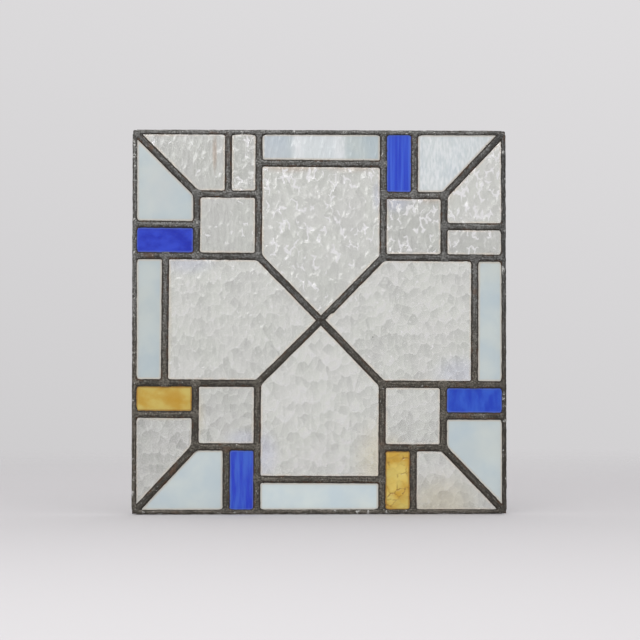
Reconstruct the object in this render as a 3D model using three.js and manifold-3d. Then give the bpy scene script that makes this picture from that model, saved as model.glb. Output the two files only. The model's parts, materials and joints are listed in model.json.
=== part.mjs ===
// Leaded stained glass window panel: 28 panes held by 32 lengths of lead came.
// Millimetres, +Z up, the front faces -Y. The origin is at the middle of the bottom edge.
import * as THREE from 'three';
import { mergeVertices } from 'three/addons/utils/BufferGeometryUtils.js';
import Module from 'manifold-3d';

const wasm = await Module();
wasm.setup();

// ---- Driving dimensions -----------------------------------------------------------------

const PANEL_WIDTH = 374;
const PANEL_HEIGHT = 384;

// The pattern is drawn on twelve modules each way, counted from -6 to 6.
const OUTER_MODULE = 6;
const MODULE_WIDTH = 31.0;
const MODULE_HEIGHT = 31.6;

// The pattern was laid by hand inside its border: a little off centre, turned clockwise,
// and with each line of lead a fraction of a millimetre off its module.
const PATTERN_SHIFT = new THREE.Vector2(1.0, 1.1);
const PATTERN_TURN = THREE.MathUtils.degToRad(0.33);
const COLUMN_SLIP = { '-5': -0.3, '-4': -0.5, '-3': -0.2, '-2': -0.6, 0: 0.5, 2: 0.2, 3: 0.4, 4: -0.6, 5: -0.5 };
const ROW_SLIP = { '-5': -0.8, '-4': -0.3, '-3': 0.1, '-2': -0.1, 2: 0.5, 3: 0.4, 4: -0.3, 5: -0.6 };

// Lead came: an H section between two panes, and a U section round the border.
const CAME_FACE = 7.2;
const BORDER_FACE = 4.8;
const CAME_DEPTH = 7.0;
const CHANNEL = 4.0;
const HEART = 1.6;
const BORDER_WALL = 1.5;
const FLANGE_LIP = 0.3; // thickness of the rounded flange at its edge
const BORDER_ROUND = 0.9; // radius along the border's edges
const ARC_STEPS = 6;

const GLASS_THICKNESS = 3.0;
const EDGE_CLEARANCE = 0.4; // between a pane's edge and the lead it stands against
const JOINT_GAP = 0.3; // between the ends of two leads, filled by solder

// Edge lines run down the middle of the border's face.
const EDGE_X = (PANEL_WIDTH - BORDER_FACE) / 2;
const EDGE_Z = (PANEL_HEIGHT - BORDER_FACE) / 2;

// ---- Materials --------------------------------------------------------------------------

const finishes = {
  lead: { color: 0x55524e, roughness: 0.5, metalness: 0.8 },
  clear: { color: 0xd6d6cf, roughness: 0.1, metalness: 0, transparent: true, opacity: 0.5 },
  opal: { color: 0xbfcdd2, roughness: 0.25, metalness: 0 },
  blue: { color: 0x2f42c4, roughness: 0.2, metalness: 0 },
  amber: { color: 0xd9a945, roughness: 0.25, metalness: 0 },
};

const finish = (name) => new THREE.MeshStandardMaterial(finishes[name]);

// ---- The pattern ------------------------------------------------------------------------

/** Where two lines of the pattern cross, in the panel's plane, measured from its middle. */
function at(column, row) {
  const onSide = Math.abs(column) === OUTER_MODULE;
  const onRail = Math.abs(row) === OUTER_MODULE;
  const point = new THREE.Vector2(
    column * MODULE_WIDTH + (COLUMN_SLIP[column] ?? 0),
    row * MODULE_HEIGHT + (ROW_SLIP[row] ?? 0),
  );
  point.add(PATTERN_SHIFT).rotateAround(new THREE.Vector2(), -PATTERN_TURN);
  if (onSide) point.x = Math.sign(column) * EDGE_X;
  if (onRail) point.y = Math.sign(row) * EDGE_Z;
  return point;
}

const route = (...stops) => stops.map(([column, row]) => at(column, row));

// ---- Solids -----------------------------------------------------------------------------

/** A closed geometry as a solid that can be cut. */
function solid(geometry) {
  geometry.deleteAttribute('normal');
  geometry.deleteAttribute('uv');
  const welded = mergeVertices(geometry, 1e-4);
  return new wasm.Manifold(new wasm.Mesh({
    numProp: 3,
    vertProperties: welded.attributes.position.array,
    triVerts: new Uint32Array(welded.index.array),
  }));
}

/** A solid as a geometry for a mesh, with flat faces. */
function facets(body) {
  const cut = body.getMesh();
  const geometry = new THREE.BufferGeometry();
  geometry.setAttribute('position', new THREE.BufferAttribute(cut.vertProperties, cut.numProp));
  geometry.setIndex(new THREE.BufferAttribute(cut.triVerts, 1));
  const flat = geometry.toNonIndexed();
  flat.computeVertexNormals();
  return flat;
}

/** The direction to the right of travel from one point of the panel's plane to the next. */
function rightOf(from, to) {
  const along = to.clone().sub(from).normalize();
  return new THREE.Vector2(along.y, -along.x);
}

/** At each point of a path, the vector across it that keeps its width through a mitred bend. */
function mitres(path, before, after) {
  return path.map((point, i) => {
    const previous = path[i - 1] ?? before;
    const next = path[i + 1] ?? after;
    const into = rightOf(previous ?? point, previous ? point : next);
    const out = rightOf(next ? point : previous, next ?? point);
    return into.clone().add(out).divideScalar(1 + into.dot(out));
  });
}

/** Runs a section, drawn across (x) by depth (y), along a path in the panel's plane. */
function sweep(section, path, before, after) {
  const stretches = path.length - 1;
  const geometry = new THREE.ExtrudeGeometry(section, {
    depth: stretches,
    steps: stretches,
    bevelEnabled: false,
  });
  const across = mitres(path, before, after);
  const position = geometry.attributes.position;
  for (let i = 0; i < position.count; i += 1) {
    const stop = Math.round(position.getZ(i));
    const place = path[stop].clone().addScaledVector(across[stop], position.getX(i));
    position.setXYZ(i, place.x, position.getY(i), place.y);
  }
  return solid(geometry);
}

/** A plain bar of a given half width along a path, deeper than any lead. */
function clearance(path, halfWidth) {
  const bar = new THREE.Shape([
    new THREE.Vector2(-halfWidth, -CAME_DEPTH),
    new THREE.Vector2(halfWidth, -CAME_DEPTH),
    new THREE.Vector2(halfWidth, CAME_DEPTH),
    new THREE.Vector2(-halfWidth, CAME_DEPTH),
  ]);
  return sweep(bar, path);
}

// ---- Lead -------------------------------------------------------------------------------

/** H section: a straight heart between two flanges with rounded faces. */
function innerCame() {
  const half = CAME_FACE / 2;
  const channel = CHANNEL / 2;
  const heart = HEART / 2;
  const lip = channel + FLANGE_LIP;
  const crown = CAME_DEPTH / 2 - lip;
  const outline = [];
  for (const side of [1, -1]) {
    outline.push(new THREE.Vector2(side * heart, side * channel));
    outline.push(new THREE.Vector2(side * half, side * channel));
    for (let step = 0; step <= ARC_STEPS; step += 1) {
      const angle = (Math.PI * step) / ARC_STEPS;
      outline.push(new THREE.Vector2(
        side * half * Math.cos(angle),
        side * (lip + crown * Math.sin(angle)),
      ));
    }
    outline.push(new THREE.Vector2(-side * half, side * channel));
    outline.push(new THREE.Vector2(-side * heart, side * channel));
  }
  return new THREE.Shape(outline);
}

/** U section: a flat outer wall, and two flanges with rounded edges. */
function borderCame() {
  const half = BORDER_FACE / 2;
  const back = CAME_DEPTH / 2;
  const channel = CHANNEL / 2;
  const bend = back - BORDER_ROUND;
  const flat = half - BORDER_ROUND;
  const section = new THREE.Shape();
  section.moveTo(half - BORDER_WALL, -channel);
  section.lineTo(-half, -channel);
  section.lineTo(-half, -bend);
  section.absarc(-flat, -bend, BORDER_ROUND, Math.PI, 1.5 * Math.PI);
  section.absarc(flat, -bend, BORDER_ROUND, 1.5 * Math.PI, 2 * Math.PI);
  section.absarc(flat, bend, BORDER_ROUND, 0, 0.5 * Math.PI);
  section.absarc(-flat, bend, BORDER_ROUND, 0.5 * Math.PI, Math.PI);
  section.lineTo(-half, channel);
  section.lineTo(half - BORDER_WALL, channel);
  return new THREE.Shape(section.getPoints(ARC_STEPS / 2));
}

const CORNERS = [
  { name: 'upper_left', side: -1, rail: 1, bentAlong: 'stile' },
  { name: 'upper_right', side: 1, rail: 1, bentAlong: 'stile' },
  { name: 'lower_left', side: -1, rail: -1, bentAlong: 'stile' },
  { name: 'lower_right', side: 1, rail: -1, bentAlong: 'rail' },
];

/** The four lengths of border lead, mitred at the corners, in order round the panel. */
function borderLeads() {
  const corners = [[-6, -6], [6, -6], [6, 6], [-6, 6]].map(([column, row]) => at(column, row));
  const names = ['bottom', 'right', 'top', 'left'];
  return names.map((name, i) => {
    const [before, from, to, after] = [-1, 0, 1, 2].map((step) => corners[(i + step + 4) % 4]);
    const pull = to.clone().sub(from).setLength(JOINT_GAP * Math.SQRT1_2);
    const path = [from.clone().add(pull), to.clone().sub(pull)];
    const shifted = [before.clone().add(pull), after.clone().sub(pull)];
    return {
      name: `border_lead_${name}`,
      body: sweep(borderCame(), path, ...shifted),
      keepOut: clearance([from, to], BORDER_FACE / 2 + JOINT_GAP),
    };
  });
}

/** Routes of the inner leads, in the order they were fitted: a later lead ends against an earlier one. */
function innerLeadRoutes() {
  const star = {
    star_lead_falling: [[-6, 2], [-2, 2], [0, 0], [2, -2]],
    star_lead_upper_right: [[6, 2], [2, 2], [0, 0]],
    star_lead_lower_left: [[-6, -2], [-2, -2], [0, 0]],
    cross_lead_lower_right: [[6, -2], [2, -2]],
    upright_lead_upper_left: [[-2, 6], [-2, 2]],
    upright_lead_upper_right: [[2, 6], [2, 2]],
    upright_lead_lower_left: [[-2, -6], [-2, -2]],
    upright_lead_lower_right: [[2, -6], [2, -2]],
  };
  const corner = CORNERS.map(({ name, side, rail, bentAlong }) => {
    const square = [4 * side, 4 * rail];
    const downStile = [4 * side, 2 * rail];
    const alongRail = [2 * side, 4 * rail];
    const [bent, straight] = bentAlong === 'stile' ? [downStile, alongRail] : [alongRail, downStile];
    return {
      [`corner_lead_${name}`]: [[6 * side, 6 * rail], square, bent],
      [`square_lead_${name}`]: [straight, square],
      [`rail_rib_${name}`]: [[3 * side, 6 * rail], [3 * side, 4 * rail]],
      [`stile_rib_${name}`]: [[6 * side, 3 * rail], [4 * side, 3 * rail]],
    };
  });
  const strip = {
    strip_lead_top: [[-2, 5], [2, 5]],
    strip_lead_bottom: [[-2, -5], [2, -5]],
    strip_lead_left: [[-5, 2], [-5, -2]],
    strip_lead_right: [[5, 2], [5, -2]],
  };
  return Object.entries(Object.assign({}, star, ...corner, strip));
}

/** All the leads, each cut back from those fitted before it. */
function leads() {
  const border = borderLeads();
  let fitted = border.map((lead) => lead.keepOut).reduce((sum, next) => sum.add(next));
  const inner = innerLeadRoutes().map(([name, stops]) => {
    const path = route(...stops);
    const body = sweep(innerCame(), path).subtract(fitted);
    fitted = fitted.add(clearance(path, CAME_FACE / 2 + JOINT_GAP));
    return { name, body };
  });
  return [...border, ...inner];
}

// ---- Glass ------------------------------------------------------------------------------

/** Draws a pane's outline in from the lead lines round it, by the room each lead takes. */
function paneOutline(stops) {
  const points = route(...stops);
  const onBorder = (a, b) => (
    (Math.abs(a[0]) === OUTER_MODULE && a[0] === b[0]) || (Math.abs(a[1]) === OUTER_MODULE && a[1] === b[1])
  );
  const count = points.length;
  const edges = points.map((point, i) => {
    const next = points[(i + 1) % count];
    const room = onBorder(stops[i], stops[(i + 1) % count])
      ? BORDER_WALL - BORDER_FACE / 2 + EDGE_CLEARANCE
      : HEART / 2 + EDGE_CLEARANCE;
    const inward = rightOf(next, point);
    return { inward, reach: inward.dot(point) + room };
  });
  return edges.map((edge, i) => {
    const last = edges[(i + count - 1) % count];
    const cross = last.inward.cross(edge.inward);
    return new THREE.Vector2(
      (last.reach * edge.inward.y - edge.reach * last.inward.y) / cross,
      (edge.reach * last.inward.x - last.reach * edge.inward.x) / cross,
    );
  });
}

/** A flat pane cut to the outline, standing in the middle of the channels. */
function pane(stops) {
  const outline = paneOutline(stops);
  const geometry = new THREE.ExtrudeGeometry(new THREE.Shape(outline), {
    depth: GLASS_THICKNESS,
    bevelEnabled: false,
  });
  geometry.translate(0, 0, -GLASS_THICKNESS / 2);
  geometry.rotateX(Math.PI / 2);
  return solid(geometry);
}

/** The cells of the pattern, anticlockwise from the front, with the glass in each. */
function panes() {
  const star = [
    ['star_pane_top', 'clear', [[0, 0], [2, 2], [2, 5], [-2, 5], [-2, 2]]],
    ['star_pane_left', 'clear', [[0, 0], [-2, 2], [-5, 2], [-5, -2], [-2, -2]]],
    ['star_pane_bottom', 'clear', [[0, 0], [-2, -2], [-2, -5], [2, -5], [2, -2]]],
    ['star_pane_right', 'clear', [[0, 0], [2, -2], [5, -2], [5, 2], [2, 2]]],
  ];
  const strips = [
    ['strip_pane_top', 'opal', [[-2, 5], [2, 5], [2, 6], [-2, 6]]],
    ['strip_pane_left', 'opal', [[-6, -2], [-5, -2], [-5, 2], [-6, 2]]],
    ['strip_pane_bottom', 'opal', [[-2, -6], [2, -6], [2, -5], [-2, -5]]],
    ['strip_pane_right', 'opal', [[5, -2], [6, -2], [6, 2], [5, 2]]],
  ];
  // Each corner: a square, then a wedge and a block along the rail, and the same along the stile.
  const glass = {
    upper_left: ['clear', 'clear', 'opal', 'blue'],
    upper_right: ['opal', 'blue', 'clear', 'clear'],
    lower_left: ['opal', 'blue', 'clear', 'amber'],
    lower_right: ['clear', 'amber', 'opal', 'blue'],
  };
  const corners = CORNERS.flatMap(({ name, side, rail }) => {
    const mirrored = (...cell) => {
      const placed = cell.map(([column, row]) => [column * side, row * rail]);
      return side * rail > 0 ? placed : placed.reverse();
    };
    const [railWedge, railBlock, stileWedge, stileBlock] = glass[name];
    return [
      [`square_pane_${name}`, 'clear', mirrored([2, 2], [4, 2], [4, 4], [2, 4])],
      [`rail_wedge_${name}`, railWedge, mirrored([3, 4], [4, 4], [6, 6], [3, 6])],
      [`rail_block_${name}`, railBlock, mirrored([2, 4], [3, 4], [3, 6], [2, 6])],
      [`stile_wedge_${name}`, stileWedge, mirrored([4, 3], [6, 3], [6, 6], [4, 4])],
      [`stile_block_${name}`, stileBlock, mirrored([4, 2], [6, 2], [6, 3], [4, 3])],
    ];
  });
  return [...star, ...strips, ...corners];
}

// ---- The window -------------------------------------------------------------------------

function mesh(name, body, glass) {
  const piece = new THREE.Mesh(facets(body), finish(glass));
  piece.name = name;
  return piece;
}

const stainedGlassWindow = new THREE.Group();
stainedGlassWindow.position.set(0, 0, PANEL_HEIGHT / 2);
for (const { name, body } of leads()) stainedGlassWindow.add(mesh(name, body, 'lead'));
for (const [name, glass, cell] of panes()) stainedGlassWindow.add(mesh(name, pane(cell), glass));

export default stainedGlassWindow;
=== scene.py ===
"""Finishes the leaded window panel: figured, opal, blue and amber glass in soldered lead."""
import json
import math

import bmesh
import bpy
import numpy as np
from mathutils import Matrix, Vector


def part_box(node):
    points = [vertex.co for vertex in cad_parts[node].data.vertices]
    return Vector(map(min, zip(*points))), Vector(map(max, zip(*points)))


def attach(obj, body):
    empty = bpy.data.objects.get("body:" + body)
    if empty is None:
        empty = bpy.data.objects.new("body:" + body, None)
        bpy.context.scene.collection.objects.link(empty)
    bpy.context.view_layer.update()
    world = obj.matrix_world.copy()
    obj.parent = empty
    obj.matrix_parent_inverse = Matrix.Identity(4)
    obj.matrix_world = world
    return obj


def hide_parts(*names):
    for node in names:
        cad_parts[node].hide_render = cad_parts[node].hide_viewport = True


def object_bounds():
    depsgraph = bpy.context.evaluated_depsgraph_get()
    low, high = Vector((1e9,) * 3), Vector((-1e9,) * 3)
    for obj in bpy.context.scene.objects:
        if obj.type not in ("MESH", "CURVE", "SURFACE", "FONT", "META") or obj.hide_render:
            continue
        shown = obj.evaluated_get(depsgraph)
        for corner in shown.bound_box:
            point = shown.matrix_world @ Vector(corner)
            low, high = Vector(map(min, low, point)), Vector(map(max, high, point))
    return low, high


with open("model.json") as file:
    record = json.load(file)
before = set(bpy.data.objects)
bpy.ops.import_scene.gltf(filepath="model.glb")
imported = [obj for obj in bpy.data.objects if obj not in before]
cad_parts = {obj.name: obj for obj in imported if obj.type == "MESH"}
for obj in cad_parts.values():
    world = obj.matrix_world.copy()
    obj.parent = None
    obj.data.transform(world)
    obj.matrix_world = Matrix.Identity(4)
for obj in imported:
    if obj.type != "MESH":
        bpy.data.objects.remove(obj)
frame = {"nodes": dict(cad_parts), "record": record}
cad_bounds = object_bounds()
MM = 0.001

# ---- Sizes the looks need, in metres ------------------------------------------------------

GLASS_FRONT = -1.5 * MM
GLASS_BACK = 1.5 * MM
LEAD_CROWN = 3.5 * MM  # from the middle of the panel's depth to the crown of a flange
LEAD_CHANNEL = 2.0 * MM  # from there to the flange's inner face
CAME_HALF = 3.35 * MM
BORDER_HALF = 2.4 * MM
BORDER_TRIM = 0.5 * MM  # how much of the border's inner flange is rubbed away
HEART_HALF = 0.8 * MM
BORDER_WALL = 1.5 * MM
FLANGE_LIP = 0.35 * MM
CEMENT_WIDTH = 0.3 * MM  # cement showing beyond a flange's edge
CUT_GAP = 0.3 * MM  # between the ends of two leads in the frame

# ---- Node trees -----------------------------------------------------------------------------


def put(tree, kind, inputs=None, **settings):
    """Adds a node, sets it up, and fills its inputs with values or with other nodes' outputs."""
    node = tree.nodes.new(kind)
    for name, value in settings.items():
        setattr(node, name, value)
    for name, value in (inputs or {}).items():
        if isinstance(value, bpy.types.NodeSocket):
            tree.links.new(value, node.inputs[name])
        else:
            node.inputs[name].default_value = value
    return node


def reckon(tree, operation, *values, clamp=False):
    """One sum on numbers."""
    inputs = dict(enumerate(values))
    return put(tree, "ShaderNodeMath", inputs, operation=operation, use_clamp=clamp).outputs[0]


def reckon_vector(tree, operation, *values):
    """One sum on vectors. A dot product or a length is the second output."""
    inputs = dict(enumerate(values))
    node = put(tree, "ShaderNodeVectorMath", inputs, operation=operation)
    return node.outputs[1 if operation in ("DOT_PRODUCT", "LENGTH", "DISTANCE") else 0]


def dim(tree, tone, amount):
    """A colour or a direction times a number."""
    return put(tree, "ShaderNodeVectorMath", {0: tone, "Scale": amount}, operation="SCALE").outputs[0]


def ramp(tree, value, start, end, low=0.0, high=1.0):
    """Eases from low to high while value goes from start to end."""
    inputs = {"Value": value, "From Min": start, "From Max": end, "To Min": low, "To Max": high}
    return put(tree, "ShaderNodeMapRange", inputs, interpolation_type="SMOOTHSTEP").outputs[0]


def blend_colours(tree, amount, first, second):
    """Goes from the first colour to the second by amount."""
    node = put(tree, "ShaderNodeMix", {"Factor": amount}, data_type="RGBA")
    for name, colour in (("A_Color", first), ("B_Color", second)):
        socket = next(s for s in node.inputs if s.identifier == name)
        if isinstance(colour, bpy.types.NodeSocket):
            tree.links.new(colour, socket)
        else:
            socket.default_value = (*colour, 1.0)
    return next(s for s in node.outputs if s.identifier == "Result_Color")


def split(tree, place):
    """The three numbers of a place or a direction."""
    return put(tree, "ShaderNodeSeparateXYZ", {0: place}).outputs


def join(tree, x=0.0, y=0.0, z=0.0):
    """A place made of three numbers."""
    return put(tree, "ShaderNodeCombineXYZ", {0: x, 1: y, 2: z}).outputs[0]


def clouds(tree, spot, scale, detail):
    """Cloudy variation: Fac is a number from 0 to 1, and Color is three of them."""
    return put(tree, "ShaderNodeTexNoise", {"Vector": spot, "Scale": scale, "Detail": detail}).outputs


def noise(tree, place, size, detail=2.0, stretch=(1.0, 1.0, 1.0), shift=(0.0, 0.0, 0.0)):
    """Cloudy variation with features about size metres across, from 0 to 1."""
    scale = tuple(s / size for s in stretch)
    spot = put(tree, "ShaderNodeMapping", {"Vector": place, "Location": shift, "Scale": scale})
    return clouds(tree, spot.outputs[0], 1.0, detail)["Fac"]


def attribute(tree, name):
    """A number that the piece's mesh carries."""
    return put(tree, "ShaderNodeAttribute", attribute_name=name).outputs["Fac"]


def shape_tree(name, inputs):
    """A geometry node tree with a Geometry input and the named ones, ready for its nodes."""
    tree = bpy.data.node_groups.new(name, "GeometryNodeTree")
    tree.interface.new_socket("Geometry", in_out="INPUT", socket_type="NodeSocketGeometry")
    for label, kind in inputs.items():
        tree.interface.new_socket(label, in_out="INPUT", socket_type="NodeSocket" + kind)
    tree.interface.new_socket("Geometry", in_out="OUTPUT", socket_type="NodeSocketGeometry")
    return tree, tree.nodes.new("NodeGroupInput").outputs


def end_tree(tree, geometry, material):
    """Ends a tree with real, plain geometry in one material."""
    real = put(tree, "GeometryNodeRealizeInstances", {"Geometry": geometry})
    coated = put(tree, "GeometryNodeSetMaterial", {"Geometry": real.outputs[0], "Material": material})
    put(tree, "NodeGroupOutput", {"Geometry": coated.outputs[0]})


def to_scene(name, data):
    """A new object in the scene."""
    thing = bpy.data.objects.new(name, data)
    bpy.context.collection.objects.link(thing)
    return thing


def grow(name, start, tree, values):
    """Runs a tree on a start mesh, and returns the result as a plain mesh object with no modifier."""
    source = to_scene(name + "_start", start)
    modifier = source.modifiers.new(tree.name, "NODES")
    modifier.node_group = tree
    names = {item.name: item.identifier for item in tree.interface.items_tree if item.in_out == "INPUT"}
    for label, value in values.items():
        modifier[names[label]] = value
    source.update_tag()
    depsgraph = bpy.context.evaluated_depsgraph_get()
    result = source.evaluated_get(depsgraph)
    mesh = bpy.data.meshes.new_from_object(result, preserve_all_data_layers=True, depsgraph=depsgraph)
    bpy.data.objects.remove(source)
    mesh.name = name
    return to_scene(name, mesh)


# ---- What the frame says --------------------------------------------------------------------


def front_points(node):
    """The points furthest forward on a node, as places in the panel's plane."""
    points = [v.co for v in frame["nodes"][node].data.vertices]
    front = min(p.y for p in points)
    places = {(round(p.x, 6), round(p.z, 6)) for p in points if p.y < front + 0.01 * MM}
    return [Vector(place) for place in sorted(places)]


def pane_outline(node):
    """The corners of a pane's front face, anticlockwise."""
    corners = front_points(node)
    middle = sum(corners, Vector((0, 0))) / len(corners)
    return sorted(corners, key=lambda c: math.atan2(c.y - middle.y, c.x - middle.x))


def crown_line(node):
    """The stops of a lead's middle line, from one end to the other, read from the crown of its face."""
    points = front_points(node)
    first = max(points, key=lambda p: max((p - other).length for other in points))
    stops = []
    for point in sorted(points, key=lambda p: (p - first).length):
        if not stops or (point - stops[-1]).length > 1 * MM:
            stops.append(point)
    return stops


GLASS_SLOTS = ("clear_glass", "opal_glass", "blue_glass", "amber_glass")
slots = {part["node"]: part["material_slot"] for part in frame["record"]["subparts"]}
panes = {node: slot for node, slot in slots.items() if slot in GLASS_SLOTS}
inner_leads = [node for node, slot in slots.items() if slot == "came_lead"]
(panel_left, _, panel_bottom), (panel_right, _, panel_top) = cad_bounds
LEFT, RIGHT = panel_left + BORDER_HALF, panel_right - BORDER_HALF
BOTTOM, TOP = panel_bottom + BORDER_HALF, panel_top - BORDER_HALF
PANEL_CORNERS = [Vector(c) for c in ((LEFT, BOTTOM), (RIGHT, BOTTOM), (RIGHT, TOP), (LEFT, TOP))]
border_sides = {
    "border_lead_bottom": PANEL_CORNERS[0:2],
    "border_lead_right": PANEL_CORNERS[1:3],
    "border_lead_top": PANEL_CORNERS[2:4],
    "border_lead_left": [PANEL_CORNERS[3], PANEL_CORNERS[0]],
}
PANEL_MIDDLE = Vector(((LEFT + RIGHT) / 2, (BOTTOM + TOP) / 2))
crown_lines = {node: crown_line(node) for node in inner_leads}

# ---- Finishes -------------------------------------------------------------------------------


def finish(name):
    """A new material: its tree, its Principled shader and its Object coordinates."""
    material = bpy.data.materials.new(name)
    material.use_nodes = True
    tree = material.node_tree
    shader = tree.nodes["Principled BSDF"]
    place = put(tree, "ShaderNodeTexCoord").outputs["Object"]
    return material, tree, shader, place


BROWN_SHADE_FULL_BELOW, BROWN_SHADE_ENDS_ABOVE = 130 * MM, 230 * MM  # the lead is browner and darker low on the panel than high on it: a brown tone with painted shade
LOW_LEAD_BROWN_AND_SHADE = (0.84, 0.765, 0.66)
PAINTED_SHADE_FROM, PAINTED_SHADE_TO = 170 * MM, 184 * MM  # painted shade: darker towards its right edge, away from the light at the left


def lead_finish(name, shift, bare):
    """Old tinned lead: drawn streaks, dark edges, a few rusty stains, and some bare bright metal, with
    painted shade low on the panel and towards its right edge.
    """
    material, tree, shader, place = finish(name)
    rim, cement, along, across, dark = (
        attribute(tree, label) for label in ("rim", "cement", "along", "across", "dark"))
    cloud = noise(tree, place, 14 * MM, 4.0, shift=shift)
    grain = noise(tree, place, 1.3 * MM, 4.0, shift=shift)
    reach = reckon_vector(tree, "LENGTH", place)
    drawn = join(tree, along, across, reach)
    drawn = noise(tree, drawn, 1.0 * MM, 3.0, (0.07, 1.0, 0.01), shift)
    streak = reckon(tree, "MULTIPLY_ADD", grain, 0.55, reckon(tree, "MULTIPLY", drawn, 0.45))
    tone = blend_colours(tree, ramp(tree, cloud, 0.3, 0.7), (0.060, 0.059, 0.053), (0.120, 0.118, 0.112))
    tone = blend_colours(tree, ramp(tree, streak, 0.37, 0.5, 0.9, 0.0), tone, (0.026, 0.025, 0.022))
    tone = blend_colours(tree, ramp(tree, streak, 0.5, 0.61, 0.0, 0.85), tone, (0.215, 0.215, 0.207))
    apart = split(tree, place)
    # Painted shade with a brown tone: the lead is made darker and browner low on the panel, as if lit from
    # above.
    warm = blend_colours(tree, ramp(tree, apart[2], BROWN_SHADE_FULL_BELOW, BROWN_SHADE_ENDS_ABOVE), LOW_LEAD_BROWN_AND_SHADE, (1.0, 1.0, 1.0))
    tone = reckon_vector(tree, "MULTIPLY", tone, warm)
    # Painted shade: the lead darkens towards the panel's right edge, away from the light at the left.
    painted_shade = ramp(tree, apart[0], PAINTED_SHADE_FROM, PAINTED_SHADE_TO, 1.0, 0.66)
    # Each lead's Dark value dims it further: on the right border it is painted shade, on the top border a
    # painted highlight.
    tone = dim(tree, tone, reckon(tree, "SUBTRACT", painted_shade, dark))
    specks = ramp(tree, noise(tree, place, 1.5 * MM, 1.0, shift=shift), 0.75, 0.79)
    tone = blend_colours(tree, specks, tone, (0.50, 0.50, 0.48))
    worn = noise(tree, place, 5 * MM, shift=(shift[0], 7.0, shift[2]))
    worn = reckon(tree, "MULTIPLY", ramp(tree, worn, bare, bare + 0.06), ramp(tree, streak, 0.45, 0.55))
    tone = blend_colours(tree, worn, tone, (0.44, 0.44, 0.42))
    stain = ramp(tree, noise(tree, place, 26 * MM, 3.0, shift=shift), 0.62, 0.74, 0.0, 0.6)
    tone = blend_colours(tree, stain, tone, (0.105, 0.052, 0.026))
    ragged = reckon(tree, "MULTIPLY_ADD", reckon(tree, "SUBTRACT", grain, 0.5), -1.6, rim)
    grime = ramp(tree, ragged, 0.22, 0.72, 0.0, 0.95)
    rusty = ramp(tree, noise(tree, place, 9 * MM, 3.0, shift=shift), 0.52, 0.66)
    rusty = blend_colours(tree, rusty, (0.027, 0.021, 0.015), (0.060, 0.029, 0.013))
    tone = blend_colours(tree, grime, tone, rusty)
    tone = blend_colours(tree, cement, tone, (0.026, 0.018, 0.011))
    tree.links.new(tone, shader.inputs["Base Color"])
    dull = reckon(tree, "MAXIMUM", cement, grime)
    tree.links.new(ramp(tree, dull, 0.0, 1.0, 0.55, 0.0), shader.inputs["Metallic"])
    rough = reckon(tree, "MULTIPLY_ADD", cloud, 0.3, 0.34)
    tree.links.new(reckon(tree, "MULTIPLY_ADD", dull, 0.4, rough, clamp=True), shader.inputs["Roughness"])
    bump = put(tree, "ShaderNodeBump", {"Height": streak, "Strength": 0.8, "Distance": 0.35 * MM})
    tree.links.new(bump.outputs[0], shader.inputs["Normal"])
    return material


GLASS_IOR = 1.5


def set_glass(shader, transmission, roughness):
    """How much light goes through a glass, and how smooth it is."""
    shader.inputs["Transmission Weight"].default_value = transmission
    shader.inputs["Roughness"].default_value = roughness
    shader.inputs["IOR"].default_value = GLASS_IOR


def beside_lead(tree, full, gone, strength):
    """Old putty or dirt beside the lead: at its strength up to full from a pane's edge, none at gone."""
    return ramp(tree, attribute(tree, "margin"), full, gone, strength, 0.0)


def pane_spot(tree, place, node, across, up, width, height):
    """An oval spot on a pane: 1 in its middle, which is a share of the pane's box, and 0 outside it."""
    low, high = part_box(node)
    middle = [low[0] + across * (high[0] - low[0]), 0.0, low[2] + up * (high[2] - low[2])]
    away = reckon_vector(tree, "SUBTRACT", place, tuple(middle))
    away = reckon_vector(tree, "MULTIPLY", away, (1 / width, 0.0, 1 / height))
    return ramp(tree, reckon_vector(tree, "LENGTH", away), 0.2, 1.0, 1.0, 0.0)


PAINTED_LILAC_LIGHT = (0.77, 0.80, 0.90)
BEIGE = (0.87, 0.83, 0.68)
BROWN = (0.70, 0.58, 0.47)
SPECK = (0.20, 0.19, 0.17)
PUTTY = (0.99, 0.88, 0.74)  # the pale line of old putty along the lead
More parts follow.
